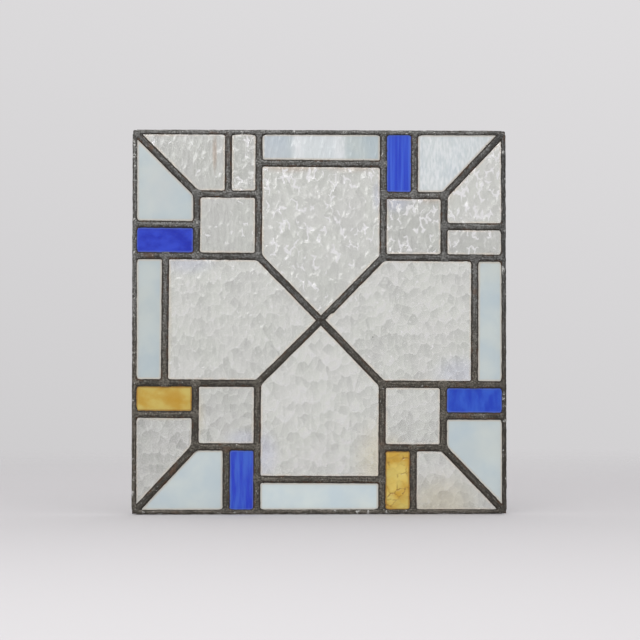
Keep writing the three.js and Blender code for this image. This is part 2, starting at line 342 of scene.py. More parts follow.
# Stains and painted coloured light on the clear panes: colour, strength, place across and up, half width and
# half height. The lilac spots are painted light cast through the blue glass, and the large beige spot low on
# the bottom star pane is painted light through the amber glass.
CLEAR_SPOTS = {
    "star_pane_top": [
        (PAINTED_LILAC_LIGHT, 0.7, 0.98, 0.80, 10 * MM, 24 * MM), (BROWN, 0.75, 0.25, 1.0, 44 * MM, 11 * MM),
        (BROWN, 0.6, 0.75, 1.0, 40 * MM, 11 * MM), (BEIGE, 0.4, 0.0, 0.45, 6 * MM, 50 * MM),
    ],
    "star_pane_left": [
        (PAINTED_LILAC_LIGHT, 0.6, 0.15, 0.97, 34 * MM, 18 * MM), (BEIGE, 0.4, 0.02, 0.5, 5 * MM, 70 * MM),
    ],
    "star_pane_right": [
        (PAINTED_LILAC_LIGHT, 0.6, 0.90, 0.08, 34 * MM, 24 * MM), (SPECK, 0.9, 0.33, 0.37, 1.2 * MM, 1.0 * MM),
    ],
    "star_pane_bottom": [
        (PAINTED_LILAC_LIGHT, 0.7, 0.03, 0.15, 22 * MM, 34 * MM), (BEIGE, 0.9, 1.0, 0.1, 34 * MM, 56 * MM),
    ],
    "square_pane_upper_right": [
        (BROWN, 0.6, 0.78, 1.0, 18 * MM, 10 * MM), (PAINTED_LILAC_LIGHT, 0.8, 0.18, 0.9, 22 * MM, 14 * MM),
    ],
    "square_pane_lower_left": [
        (BEIGE, 0.6, 0.04, 0.5, 9 * MM, 30 * MM), (PAINTED_LILAC_LIGHT, 0.6, 0.8, 0.1, 26 * MM, 14 * MM),
    ],
    "square_pane_lower_right": [(BEIGE, 0.5, 0.1, 0.05, 20 * MM, 14 * MM)],
    "rail_wedge_upper_left": [
        (BROWN, 0.7, 0.86, 0.66, 3.5 * MM, 26 * MM), (BROWN, 0.5, 0.3, 1.0, 40 * MM, 7 * MM),
    ],
    "rail_wedge_lower_right": [(BEIGE, 0.9, 0.3, 0.05, 50 * MM, 46 * MM)],
    "stile_wedge_upper_right": [(BEIGE, 0.5, 0.1, 0.5, 8 * MM, 30 * MM)],
    "stile_wedge_lower_left": [(BEIGE, 0.5, 0.5, 1.0, 40 * MM, 8 * MM)],
}
# How light each clear pane is. The grey is partly the glass's own and partly painted shade, as if the
# panel's shadow lay behind it.
CLEAR_LEVELS = {
    "star_pane_top": 0.925, "star_pane_left": 0.955, "star_pane_right": 0.965, "star_pane_bottom": 1.01,
    "square_pane_upper_left": 0.86, "square_pane_upper_right": 0.815, "square_pane_lower_left": 0.89,
    "square_pane_lower_right": 0.93, "rail_wedge_upper_left": 0.83, "rail_wedge_lower_right": 0.96,
    "stile_wedge_upper_right": 0.925, "stile_wedge_lower_left": 0.82, "stile_block_upper_right": 0.81,
    "rail_block_upper_left": 0.81,
}
# How many painted highlights a clear pane has, as white strokes along its ridges: a higher number shows more
# of them. The others have none.
CLEAR_RIDGE_HIGHLIGHTS = {
    "star_pane_top": 0.44, "square_pane_upper_right": 0.50, "stile_wedge_upper_right": 0.50,
    "stile_block_upper_right": 0.51, "rail_block_upper_left": 0.38, "rail_wedge_upper_left": 0.28,
    "square_pane_upper_left": 0.33, "star_pane_left": 0.30, "star_pane_right": 0.31,
}
HIGHLIGHT_CELL_WIDTH, HIGHLIGHT_CELL_HEIGHT = 7 * MM, 10 * MM  # of the cells whose edges the strokes follow
FLECK_GLINTS = 0.3  # how strongly the painted glints, small pale flecks, show on a clear pane
CLEAR_FLECK_GLINTS = {"star_pane_left": 0.6, "star_pane_right": 0.75}  # the panes where they show more


def painted_ridge_highlights(tree, place, share, shift):
    """Painted highlights: short forked white strokes, most of them upright, along the ridges of the figure,
    more of them high on the panel.
    """
    apart = split(tree, place)
    across = reckon(tree, "DIVIDE", apart[0], HIGHLIGHT_CELL_WIDTH)
    up = reckon(tree, "DIVIDE", apart[2], HIGHLIGHT_CELL_HEIGHT)
    spot = join(tree, across, up, shift[0])
    bend = clouds(tree, spot, 1.6, 2.0)["Color"]
    spot = reckon_vector(tree, "MULTIPLY_ADD", bend, (0.8, 0.8, 0.0), spot)
    edge = put(tree, "ShaderNodeTexVoronoi", {"Vector": spot, "Scale": 1.0}, voronoi_dimensions="2D",
               feature="DISTANCE_TO_EDGE").outputs["Distance"]
    chance = clouds(tree, spot, 1.0, 0.0)["Fac"]
    # More painted highlights higher on the panel, nearer the light above.
    chance = reckon(tree, "ADD", chance, ramp(tree, apart[2], 220 * MM, 340 * MM, -0.05, 0.04))
    fat = ramp(tree, chance, 1.0 - share, 1.22 - share, 0.035, 0.22)
    line = ramp(tree, reckon(tree, "DIVIDE", edge, fat), 0.1, 1.2, 1.0, 0.0)
    return reckon(tree, "MULTIPLY", line, ramp(tree, chance, 1.0 - share, 1.03 - share))


def clear_finish(node, shift):
    """Clear figured glass, faintly grey, the grey partly painted shade: darker and lighter with its cells in
    painted light and shade, with the pane's own stains, painted coloured light and painted highlights.
    """
    material, tree, shader, place = finish("figured_glass_" + node)
    # The shade attribute is painted light and shade from the figure.
    shade = attribute(tree, "shade")
    cloud = noise(tree, place, 30 * MM, 2.0, shift=shift)
    tone = blend_colours(tree, ramp(tree, cloud, 0.35, 0.65), (0.868, 0.888, 0.832), (0.878, 0.888, 0.848))
    # Some of these spots are painted coloured light, cast through the blue and amber glass.
    for colour, strength, across, up, width, height in CLEAR_SPOTS.get(node, []):
        spot = pane_spot(tree, place, node, across, up, width, height)
        tone = blend_colours(tree, reckon(tree, "MULTIPLY", spot, strength), tone, colour)
    level = reckon(tree, "ADD", shade, CLEAR_LEVELS[node])
    tone = dim(tree, tone, level)
    if node in CLEAR_RIDGE_HIGHLIGHTS:
        ridge_highlight = painted_ridge_highlights(tree, place, CLEAR_RIDGE_HIGHLIGHTS[node], shift)
        # Painted highlight: the strokes are brighter than what the glass lets through.
        tone = blend_colours(tree, reckon(tree, "MULTIPLY", ridge_highlight, 0.95), tone, (1.15, 1.15, 1.16))
    # Painted highlight: small pale glints on the figure.
    fleck_glint = noise(tree, place, 2.2 * MM, 2.0, (1.0, 1.0, 0.7), shift)
    fleck_glint = ramp(tree, fleck_glint, 0.58, 0.72, 0.0, CLEAR_FLECK_GLINTS.get(node, FLECK_GLINTS))
    tone = blend_colours(tree, fleck_glint, tone, (1.08, 1.08, 1.07))
    worn = noise(tree, place, 7 * MM, 2.0, shift=shift)
    putty = beside_lead(tree, full=3.3 * MM, gone=4.9 * MM, strength=1.0)
    putty = reckon(tree, "MULTIPLY", putty, ramp(tree, worn, 0.35, 0.6, 0.3, 0.95))
    tone = blend_colours(tree, putty, tone, PUTTY)
    tree.links.new(tone, shader.inputs["Base Color"])
    set_glass(shader, transmission=0.92, roughness=0.17)
    return material


OPAL_LEVELS = {"strip_pane_bottom": 1.36, "strip_pane_top": 1.03, "rail_wedge_upper_right": 1.055,
               "rail_wedge_lower_left": 1.21, "strip_pane_right": 1.145, "strip_pane_left": 1.07,
               "stile_wedge_upper_left": 1.09, "stile_wedge_lower_right": 1.175}


def opal_finish(node, shift):
    """Pale blue-white opal glass with faint clouds. Two panes have whiter, wavy streaks down them, and the
    top strip a painted reflection.
    """
    material, tree, shader, place = finish("opal_glass_" + node)
    cloud = noise(tree, place, 30 * MM, 3.0, shift=shift)
    warm = noise(tree, place, 45 * MM, 1.0, shift=(shift[0] + 9.0, 0.0, 0.0))
    tone = blend_colours(tree, ramp(tree, cloud, 0.3, 0.7), (0.470, 0.549, 0.580), (0.550, 0.608, 0.597))
    tone = blend_colours(tree, ramp(tree, warm, 0.5, 0.7, 0.0, 0.28), tone, (0.550, 0.581, 0.540))
    if node == "stile_wedge_upper_left":
        pale = pane_spot(tree, place, node, 0.4, 0.4, 26 * MM, 42 * MM)
        tone = blend_colours(tree, reckon(tree, "MULTIPLY", pale, 0.4), tone, (0.580, 0.600, 0.585))
    if node == "strip_pane_top":
        cool = pane_spot(tree, place, node, 0.1, 0.4, 30 * MM, 60 * MM)
        tone = blend_colours(tree, reckon(tree, "MULTIPLY", cool, 0.55), tone, (0.535, 0.585, 0.650))
        # Painted reflection: a pale patch where a window's light is mirrored in the strip.
        painted_window_reflection = pane_spot(tree, place, node, 0.47, 0.5, 34 * MM, 60 * MM)
        tone = blend_colours(tree, ramp(tree, painted_window_reflection, 0.0, 0.6, 0.0, 0.78), tone, (0.72, 0.76, 0.775))
    if node in ("strip_pane_top", "rail_wedge_upper_right"):
        streak = noise(tree, place, 2.2 * MM, 3.0, (1.0, 1.0, 0.3), shift)
        streak = ramp(tree, streak, 0.32, 0.70, 0.28, 0.78)
        if node == "strip_pane_top":
            left, right = (pane_spot(tree, place, node, u, 0.5, 9 * MM, 60 * MM) for u in (0.31, 0.65))
            streak = reckon(tree, "MULTIPLY", streak, reckon(tree, "MAXIMUM", left, right))
        tone = blend_colours(tree, streak, tone, (0.82, 0.84, 0.85))
    tone = dim(tree, tone, OPAL_LEVELS[node])
    dirt = beside_lead(tree, full=3.2 * MM, gone=5.0 * MM, strength=0.75)
    tone = blend_colours(tree, dirt, tone, (0.68, 0.63, 0.54))
    tree.links.new(tone, shader.inputs["Base Color"])
    set_glass(shader, transmission=0.2, roughness=0.18)
    return material


def blue_finish(node, shift):
    """Streaky cobalt glass. Each pane was cut across the streaks its own way."""
    material, tree, shader, place = finish("blue_glass_" + node)
    stretch, dark, light = {
        "stile_block_upper_left": ((0.5, 1.0, 0.8), (0.001, 0.020, 0.50), (0.022, 0.065, 0.69)),
        "rail_block_upper_right": ((2.2, 1.0, 0.06), (0.010, 0.048, 0.62), (0.052, 0.150, 0.80)),
        "rail_block_lower_left": ((1.6, 1.0, 0.18), (0.008, 0.038, 0.64), (0.045, 0.145, 0.73)),
        "stile_block_lower_right": ((0.8, 1.0, 0.35), (0.004, 0.050, 0.58), (0.030, 0.130, 0.72)),
    }[node]
    streak = noise(tree, place, 7 * MM, 3.0, stretch, shift)
    tone = blend_colours(tree, ramp(tree, streak, 0.3, 0.7), dark, light)
    dirt = beside_lead(tree, full=3.0 * MM, gone=4.2 * MM, strength=0.5)
    tone = blend_colours(tree, dirt, tone, (0.14, 0.22, 0.66))
    tree.links.new(tone, shader.inputs["Base Color"])
    set_glass(shader, transmission=0.3, roughness=0.14)
    return material


AMBER_LEVELS = {"stile_block_lower_left": 0.80, "rail_block_lower_right": 0.90}


def amber_finish(node, shift):
    """Wispy amber glass. The hammered pane has dark dirt in its pits."""
    material, tree, shader, place = finish("amber_glass_" + node)
    wisp = noise(tree, place, 12 * MM, 3.0, (0.6, 1.0, 0.8), shift)
    tone = blend_colours(tree, ramp(tree, wisp, 0.36, 0.66), (0.85, 0.67, 0.170), (0.75, 0.45, 0.050))
    if node == "stile_block_lower_left":
        deep = pane_spot(tree, place, node, 0.66, 0.55, 14 * MM, 12 * MM)
        tone = blend_colours(tree, reckon(tree, "MULTIPLY", deep, 0.8), tone, (0.72, 0.40, 0.03))
    # The shade attribute is painted light and shade from the hammered figure.
    shade = attribute(tree, "shade")
    tone = dim(tree, tone, reckon(tree, "ADD", shade, AMBER_LEVELS[node]))
    pits = attribute(tree, "pits")
    tone = blend_colours(tree, pits, tone, (0.22, 0.105, 0.020))
    dirt = beside_lead(tree, full=3.2 * MM, gone=4.4 * MM, strength=0.7)
    tone = blend_colours(tree, dirt, tone, (0.42, 0.20, 0.03))
    tree.links.new(tone, shader.inputs["Base Color"])
    set_glass(shader, transmission=0.25, roughness=0.16)
    return material


# ---- Glass ----------------------------------------------------------------------------------

GRID_FINE = 0.75 * MM
GRID_COARSE = 2.5 * MM
FAR_FROM_EDGE = 1.0  # a margin no pane reaches, in metres


def figured_face_tree():
    """Rolled relief on a sheet: dished cells with uneven ridges between them, and a fine upright ripple.

    It leaves two attributes for the finish: shade, the painted light and shade of the figure, how much it
    darkens or lightens a place, with a painted highlight low in each cell; and pits, where the ridges are
    turned inwards and hold dirt.
    """
    numbers = ("Cell Width", "Cell Height", "Bend", "Dish", "Ridge", "Ridge Width", "Ripple", "Ripple Size",
               "Contrast", "Streak", "Rim Highlight", "Pits")
    inputs = {**{name: "Float" for name in numbers}, "Seed": "Int", "Material": "Material"}
    tree, given = shape_tree("figured_face", inputs)
    place = put(tree, "GeometryNodeInputPosition").outputs[0]
    apart = split(tree, place)
    seed = reckon(tree, "MULTIPLY", given["Seed"], 7.31)
    across = reckon(tree, "ADD", reckon(tree, "DIVIDE", apart[0], given["Cell Width"]), seed)
    up = reckon(tree, "DIVIDE", apart[2], given["Cell Height"])
    spot = join(tree, across, up)
    drift = clouds(tree, spot, 1.3, 2.0)["Color"]
    drift = reckon_vector(tree, "SUBTRACT", drift, (0.5, 0.5, 0.5))
    bend = join(tree, given["Bend"], given["Bend"])
    bent = reckon_vector(tree, "MULTIPLY_ADD", drift, bend, spot)
    pattern = {"Vector": bent, "Scale": 1.0, "Randomness": 1.0}
    cells = put(tree, "ShaderNodeTexVoronoi", pattern, voronoi_dimensions="2D")
    edges = put(tree, "ShaderNodeTexVoronoi", pattern, voronoi_dimensions="2D", feature="DISTANCE_TO_EDGE")
    dish = reckon(tree, "MULTIPLY", reckon(tree, "POWER", cells.outputs["Distance"], 2.0), given["Dish"])
    broken = clouds(tree, spot, 0.55, 1.0)["Fac"]
    crest = ramp(tree, edges.outputs["Distance"], 0.0, given["Ridge Width"], 1.0, 0.0)
    crest = reckon(tree, "MULTIPLY", crest, ramp(tree, broken, 0.35, 0.68, 0.0, 1.4))
    ridge = reckon(tree, "MULTIPLY", crest, given["Ridge"])
    fine = reckon_vector(tree, "DIVIDE", place, given["Ripple Size"])
    fine = reckon_vector(tree, "MULTIPLY", fine, (1.0, 1.0, 0.4))
    fine = reckon_vector(tree, "ADD", fine, join(tree, seed))
    ripple = clouds(tree, fine, 1.0, 1.0)["Fac"]
    ripple = reckon(tree, "SUBTRACT", ripple, 0.5)
    height = reckon(tree, "MULTIPLY_ADD", ripple, given["Ripple"], reckon(tree, "ADD", dish, ridge))
    margin = put(tree, "GeometryNodeInputNamedAttribute", {"Name": "margin"}, data_type="FLOAT").outputs[0]
    height = reckon(tree, "MULTIPLY", height, ramp(tree, margin, 1.5 * MM, 3.6 * MM))

    # Painted light and shade: each cell lighter or darker, darker at its top and lighter towards its bottom,
    # with fine upright streaks.
    own = split(tree, cells.outputs["Color"])
    own = reckon(tree, "SUBTRACT", own[0], 0.5)
    offset = reckon_vector(tree, "SUBTRACT", bent, cells.outputs["Position"])
    offset = split(tree, offset)
    slant = reckon(tree, "SUBTRACT", reckon(tree, "MULTIPLY", offset[0], 0.5), offset[1])
    shade = reckon(tree, "MULTIPLY_ADD", slant, 0.35, reckon(tree, "MULTIPLY", own, 0.6))
    shade = reckon(tree, "MULTIPLY", shade, given["Contrast"])
    lines = reckon_vector(tree, "MULTIPLY_ADD", place, (1 / (2.4 * MM), 0.0, 1 / (15 * MM)), drift)
    lines = clouds(tree, lines, 1.0, 2.0)["Fac"]
    shade = reckon(tree, "MULTIPLY_ADD", reckon(tree, "SUBTRACT", lines, 0.5), given["Streak"], shade)
    # Painted highlight: a bright line along the lower edge of each cell, as if lit from above.
    lower = reckon(tree, "MULTIPLY", ramp(tree, edges.outputs["Distance"], 0.0, 0.11, 1.0, 0.0),
                   ramp(tree, slant, 0.0, 0.3))
    shade = reckon(tree, "MULTIPLY_ADD", lower, given["Rim Highlight"], shade)

    shift = join(tree, y=reckon(tree, "MULTIPLY", height, -1.0))
    figured = put(tree, "GeometryNodeSetPosition",
                  {"Geometry": given["Geometry"], "Offset": shift}).outputs[0]
    pits = reckon(tree, "MULTIPLY", ramp(tree, edges.outputs["Distance"], 0.02, 0.08, 1.0, 0.0),
                  ramp(tree, broken, 0.50, 0.60, 0.12, 1.0))
    pits = reckon(tree, "MULTIPLY", pits, given["Pits"])
    for name, value in (("shade", shade), ("pits", pits)):
        figured = put(tree, "GeometryNodeStoreNamedAttribute",
                      {"Geometry": figured, "Name": name, "Value": value}, data_type="FLOAT").outputs[0]
    smooth = put(tree, "GeometryNodeSetShadeSmooth", {"Geometry": figured})
    end_tree(tree, smooth.outputs[0], given["Material"])
    return tree


def flat_sheet(name, outline, step):
    """A fine flat grid cut to a pane's outline, which knows at each point how far the nearest edge is."""
    sheet = bmesh.new()
    xs = [c.x for c in outline]
    zs = [c.y for c in outline]
    columns = math.ceil((max(xs) - min(xs)) / step)
    rows = math.ceil((max(zs) - min(zs)) / step)
    bmesh.ops.create_grid(sheet, x_segments=columns, y_segments=rows, size=0.5)
    for vert in sheet.verts:
        vert.co = Vector((
            min(xs) + (vert.co.x + 0.5) * (max(xs) - min(xs)),
            GLASS_FRONT,
            min(zs) + (vert.co.y + 0.5) * (max(zs) - min(zs)),
        ))
    edges = []
    for corner, after in zip(outline, outline[1:] + outline[:1]):
        along = (after - corner).normalized()
        inward = Vector((-along.y, along.x))
        edges.append((corner, inward))
        bmesh.ops.bisect_plane(
            sheet, geom=sheet.verts[:] + sheet.edges[:] + sheet.faces[:], dist=0.01 * MM,
            plane_co=(corner.x, 0, corner.y), plane_no=(-inward.x, 0, -inward.y), clear_outer=True,
        )
    mesh = bpy.data.meshes.new(name)
    sheet.to_mesh(mesh)
    sheet.free()
    points = np.array([(v.co.x, v.co.z) for v in mesh.vertices])
    away = [(points - np.array(corner)) @ np.array(inward) for corner, inward in edges]
    mesh.attributes.new("margin", "FLOAT", "POINT").data.foreach_set("value", np.min(away, axis=0))
    return mesh


def close_back(piece):
    """Gives a figured face its cut edges and its smooth back."""
    glass = bmesh.new()
    glass.from_mesh(piece.data)
    rim = [edge for edge in glass.edges if edge.is_boundary]
    walls = bmesh.ops.extrude_edge_only(glass, edges=rim)["geom"]
    layers = glass.verts.layers.float
    for vert in walls:
        if isinstance(vert, bmesh.types.BMVert):
            vert.co.y = GLASS_BACK
            vert[layers["margin"]] = FAR_FROM_EDGE  # so the putty and the figure show on the front alone
            for name in ("shade", "pits"):
                vert[layers[name]] = 0.0
    far = [edge for edge in walls if isinstance(edge, bmesh.types.BMEdge)]
    bmesh.ops.contextual_create(glass, geom=far)
    bmesh.ops.recalc_face_normals(glass, faces=glass.faces[:])
    glass.to_mesh(piece.data)
    glass.free()
    piece.data.set_sharp_from_angle(angle=math.radians(50))


LONG = {"Cell Width": 8 * MM, "Cell Height": 13 * MM, "Bend": 0.9, "Dish": 0.9 * MM, "Ridge": 0.45 * MM,
        "Ridge Width": 0.3, "Ripple": 0.3 * MM, "Ripple Size": 3.6 * MM, "Contrast": 0.3, "Streak": 0.35,
        "Rim Highlight": 0.05, "Pits": 0.0}
DRAWN = {**LONG, "Cell Width": 6.5 * MM, "Cell Height": 11 * MM, "Bend": 0.6, "Dish": 0.5 * MM,
         "Ridge": 0.2 * MM, "Contrast": 0.45, "Streak": 0.36, "Rim Highlight": 0.22}
SMEARED = {**DRAWN, "Cell Height": 17 * MM, "Contrast": 0.22, "Streak": 0.62, "Rim Highlight": 0.05}
ROUND = {**LONG, "Cell Width": 7.5 * MM, "Cell Height": 10 * MM, "Bend": 0.45, "Dish": 0.4 * MM,
         "Ridge": 0.12 * MM, "Ripple": 0.08 * MM, "Contrast": 0.56, "Streak": 0.3, "Rim Highlight": 0.25}
WAVY = {**LONG, "Cell Width": 5 * MM, "Cell Height": 16 * MM, "Dish": 0.2 * MM, "Ridge": 0.12 * MM,
        "Ripple": 0.15 * MM, "Contrast": 0.08, "Streak": 0.15, "Rim Highlight": 0.0}
ROLLED = {**LONG, "Cell Width": 30 * MM, "Cell Height": 30 * MM, "Dish": 0.1 * MM, "Ridge": 0.0,
          "Ripple": 0.06 * MM, "Ripple Size": 9 * MM, "Contrast": 0.0, "Streak": 0.0, "Rim Highlight": 0.0}
HAMMERED = {**LONG, "Cell Width": 9 * MM, "Cell Height": 8 * MM, "Dish": -0.4 * MM, "Ridge": -0.3 * MM,
            "Ridge Width": 0.09, "Contrast": 0.25, "Streak": 0.0, "Rim Highlight": 0.0, "Pits": 0.7,
            "Ripple": 0.2 * MM}
STROKED = ("star_pane_top", "square_pane_upper_right", "stile_wedge_upper_right", "stile_block_upper_right",
           "rail_block_upper_left")


def relief_of(node, slot):
    """The figure of a pane's front face, and how fine a grid carries it."""
    if slot == "clear_glass":
        if node in STROKED:
            return LONG, GRID_FINE
        if node in ("rail_wedge_upper_left", "square_pane_upper_left"):
            return SMEARED, GRID_FINE
        return DRAWN if node == "star_pane_left" else ROUND, GRID_FINE
    if node in ("strip_pane_top", "rail_wedge_upper_right"):
        return WAVY, GRID_FINE
    if node == "rail_block_lower_right":
        return HAMMERED, GRID_FINE
    return ROLLED, GRID_COARSE


def make_panes():
    """All the panes: figured faces on the clear ones, nearly flat rolled faces on most coloured ones."""
    tree = figured_face_tree()
    makers = {"clear_glass": clear_finish, "opal_glass": opal_finish,
              "blue_glass": blue_finish, "amber_glass": amber_finish}
    for number, (node, slot) in enumerate(sorted(panes.items())):
        relief, step = relief_of(node, slot)
        material = makers[slot](node, (number * 3.7, 0.0, number * 1.9))
        values = {**relief, "Seed": number + 1, "Material": material}
        pane = grow(node + "_glass", flat_sheet(node, pane_outline(node), step), tree, values)
        close_back(pane)
        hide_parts(node)
        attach(pane, "root")


# ---- Lead -----------------------------------------------------------------------------------


def section_curve(name, points):
    """A closed outline for a lead. Each point is (across, depth, rim, cement), with depth to the front."""
    mesh = bpy.data.meshes.new(name)
    count = len(points)
    places = [(depth, across, 0) for across, depth, _, _ in points]
    mesh.from_pydata(places, [(i, (i + 1) % count) for i in range(count)], [])
    for label, index in (("across", 0), ("rim", 2), ("cement", 3)):
        mesh.attributes.new(label, "FLOAT", "POINT").data.foreach_set("value", [p[index] for p in points])
    return to_scene(name, mesh)


def flange(half, front, heart, steps=10):
    """One face of a lead, from its right edge over the crown to its left, with cement under its edges."""
    lip = LEAD_CHANNEL + FLANGE_LIP
    glass = abs(GLASS_FRONT)
    arc = []
    for step in range(steps + 1):
        angle = math.pi * step / steps
        across = half * math.cos(angle)
        depth = lip + (LEAD_CROWN - lip) * math.sin(angle)
        arc.append((across, depth, abs(math.cos(angle)) ** 1.5, 0.0))
    right = [
        (heart, glass, 1.0, 1.0), (half + CEMENT_WIDTH, glass, 1.0, 1.0), (half, LEAD_CHANNEL, 1.0, 0.6),
    ]
    left = [(-x, y, rim, cement) for x, y, rim, cement in reversed(right)]
    return [(x * front, y * front, rim, cement) for x, y, rim, cement in right + arc + left]


def came_section():
    """The H section of the leads between panes."""
    faces = [point for front in (1, -1) for point in flange(CAME_HALF, front, HEART_HALF)]
    return section_curve("came_section", faces)


def border_section():
    """The U section round the panel: a flat outer wall on its right, and a channel on its left."""
    half, glass, crown = BORDER_HALF, abs(GLASS_FRONT), LEAD_CROWN
    heart = half - BORDER_WALL
    curl = 1.3 * MM
    inner = BORDER_TRIM - half
    face = [
        (heart, glass, 1.0, 1.0), (inner - CEMENT_WIDTH, glass, 1.0, 1.0), (inner, LEAD_CHANNEL, 1.0, 0.6),
    ]
    for middle, start in ((inner + curl, 180), (half - curl, 90)):
        for step in range(6):
            angle = math.radians(start - 18 * step)
            across = middle + curl * math.cos(angle)
            depth = crown - curl + curl * math.sin(angle)
            rim = abs(across / half) ** 2 if across < 0 else 0.5 * abs(across / half) ** 2
            face.append((across, depth, rim, 0.0))
    back = [(x, -y, rim, cement) for x, y, rim, cement in reversed(face)]
    return section_curve("border_section", face + back)


def lead_tree():
    """A lead run along a bent line, with the wander and small dents of stretched, hand-worked lead."""
    tree, given = shape_tree("worked_lead", {
        "Section": "Object", "Bend Radius": "Float", "Step": "Float", "Wander": "Float",
        "Dents": "Float", "Swell": "Float", "Dark": "Float", "Seed": "Int", "Material": "Material",
    })
    line = put(tree, "GeometryNodeMeshToCurve", {"Mesh": given["Geometry"]}).outputs[0]
    line = put(tree, "GeometryNodeFilletCurve", {"Curve": line, "Radius": given["Bend Radius"], "Count": 4,
                                                 "Limit Radius": True}, mode="POLY").outputs[0]
    line = put(tree, "GeometryNodeResampleCurve", {"Curve": line, "Length": given["Step"]},
               mode="LENGTH").outputs[0]
    line = put(tree, "GeometryNodeSetCurveNormal", {"Curve": line, "Normal": (0.0, -1.0, 0.0)},
               mode="FREE").outputs[0]
    along = put(tree, "GeometryNodeSplineParameter").outputs["Length"]
    along = reckon(tree, "MULTIPLY_ADD", given["Seed"], 0.9, along)
    for name, value in (("along", along), ("dark", given["Dark"])):
        line = put(tree, "GeometryNodeStoreNamedAttribute",
                   {"Geometry": line, "Name": name, "Value": value}, data_type="FLOAT").outputs[0]
    width = join(tree, reckon(tree, "DIVIDE", along, 30 * MM))
    width = clouds(tree, width, 1.0, 2.0)["Fac"]
    width = reckon(tree, "MULTIPLY_ADD", reckon(tree, "SUBTRACT", width, 0.5), given["Swell"], 1.0)
    line = put(tree, "GeometryNodeSetCurveRadius", {"Curve": line, "Radius": width}).outputs[0]
    outline = put(tree, "GeometryNodeObjectInfo", {"Object": given["Section"]}).outputs["Geometry"]
    outline = put(tree, "GeometryNodeMeshToCurve", {"Mesh": outline}).outputs[0]
    lead = put(tree, "GeometryNodeCurveToMesh",
               {"Curve": line, "Profile Curve": outline, "Fill Caps": True})
    place = put(tree, "GeometryNodeInputPosition").outputs[0]
    shift = join(tree, reckon(tree, "MULTIPLY", given["Seed"], 3.17))
    total = None
    for size, amount in ((24 * MM, given["Wander"]), (4.5 * MM, given["Dents"])):
        spot = reckon_vector(tree, "MULTIPLY_ADD", place, (1 / size,) * 3, shift)
        swing = reckon_vector(tree, "SUBTRACT", clouds(tree, spot, 1.0, 1.0)["Color"], (0.5, 0.5, 0.5))
        swing = reckon_vector(tree, "MULTIPLY", swing, (1.0, 0.35, 1.0))
        moved = dim(tree, swing, amount)
        total = moved if total is None else reckon_vector(tree, "ADD", total, moved)
    lead = put(tree, "GeometryNodeSetPosition", {"Geometry": lead.outputs[0], "Offset": total})
    smooth = put(tree, "GeometryNodeSetShadeSmooth", {"Geometry": lead.outputs[0]})
    end_tree(tree, smooth.outputs[0], given["Material"])
    return tree


def spine(name, stops, reach):
    """A line through the stops in the panel's middle plane, run on by reach at both ends."""
    first = stops[0] + (stops[0] - stops[1]).normalized() * reach
    last = stops[-1] + (stops[-1] - stops[-2]).normalized() * reach
    line = [first, *stops[1:-1], last]
    mesh = bpy.data.meshes.new(name)
    mesh.from_pydata([(s.x, 0, s.y) for s in line], [(i, i + 1) for i in range(len(line) - 1)], [])
    return mesh


def cut_mitre(piece, corner, away):
    """Cuts a border lead at 45 degrees through a corner of the panel, and closes the cut."""
    lead = bmesh.new()
    lead.from_mesh(piece.data)
    cut = bmesh.ops.bisect_plane(
        lead, geom=lead.verts[:] + lead.edges[:] + lead.faces[:], dist=0.001 * MM,
        plane_co=(corner.x, 0, corner.y), plane_no=(away.x, 0, away.y), clear_outer=True,
    )
    edges = [edge for edge in cut["geom_cut"] if isinstance(edge, bmesh.types.BMEdge)]
    bmesh.ops.contextual_create(lead, geom=edges)
    lead.to_mesh(piece.data)
    lead.free()


NOTCH_REACH = 9.5 * MM  # how far from its end the upper right star lead's flange was cut back
NOTCH_SHARE = 0.66  # what is left of its half width there
NOTCH_FLARE = 0.12  # and how much wider it spreads just past the cut
NOTCH_FADE = 14 * MM  # the length over which that spread dies away


def cut_back_flange(mesh, stops):
    """Cuts back the lower flange edges of a lead near the middle of the panel."""
    crossing, bend = sorted(stops, key=lambda stop: (stop - PANEL_MIDDLE).length)[:2]
    run = (bend - crossing).normalized()
    lower = Vector((run.y, -run.x))
    for vert in mesh.vertices:
        place = Vector((vert.co.x, vert.co.z)) - crossing
        along, across = place.dot(run), place.dot(lower)
        if across > 0 and along < NOTCH_REACH:
            change = NOTCH_SHARE
        elif across > 0:
            change = 1 + NOTCH_FLARE * max(0.0, 1 - (along - NOTCH_REACH) / NOTCH_FADE)
        else:
            continue
        moved = crossing + run * along + lower * across * change
        vert.co.x, vert.co.z = moved


CORNER_ROUND = {1: 3.2 * MM, -1: 1.4 * MM}  # outer radius of the panel's upper and lower corners


def round_corners(mesh):
    """Rubs down the panel's four outer corners on a mesh."""
    half = Vector((panel_right, (panel_top - panel_bottom) / 2))
    middle = Vector(((panel_left + panel_right) / 2, (panel_top + panel_bottom) / 2))
    for vert in mesh.vertices:
        x, z = vert.co.x - middle.x, vert.co.z - middle.y
        radius = CORNER_ROUND[1 if z > 0 else -1]
        beyond = Vector((abs(x) - half.x + radius, abs(z) - half.y + radius))
        if beyond.x > 0 and beyond.y > 0 and beyond.length > radius:
            beyond *= radius / beyond.length
            vert.co.x = middle.x + math.copysign(half.x - radius + beyond.x, x)
            vert.co.z = middle.y + math.copysign(half.y - radius + beyond.y, z)


def face_outwards(mesh):
    """Turns a closed mesh's faces outwards."""
    shell = bmesh.new()
    shell.from_mesh(mesh)
    bmesh.ops.recalc_face_normals(shell, faces=shell.faces[:])
    shell.to_mesh(mesh)
    shell.free()


def settle_lead(piece, node):
    """Sharp cut ends on a lead, and its place in the frame."""
    face_outwards(piece.data)
    piece.data.set_sharp_from_angle(angle=math.radians(55))
    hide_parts(node)
    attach(piece, "root")


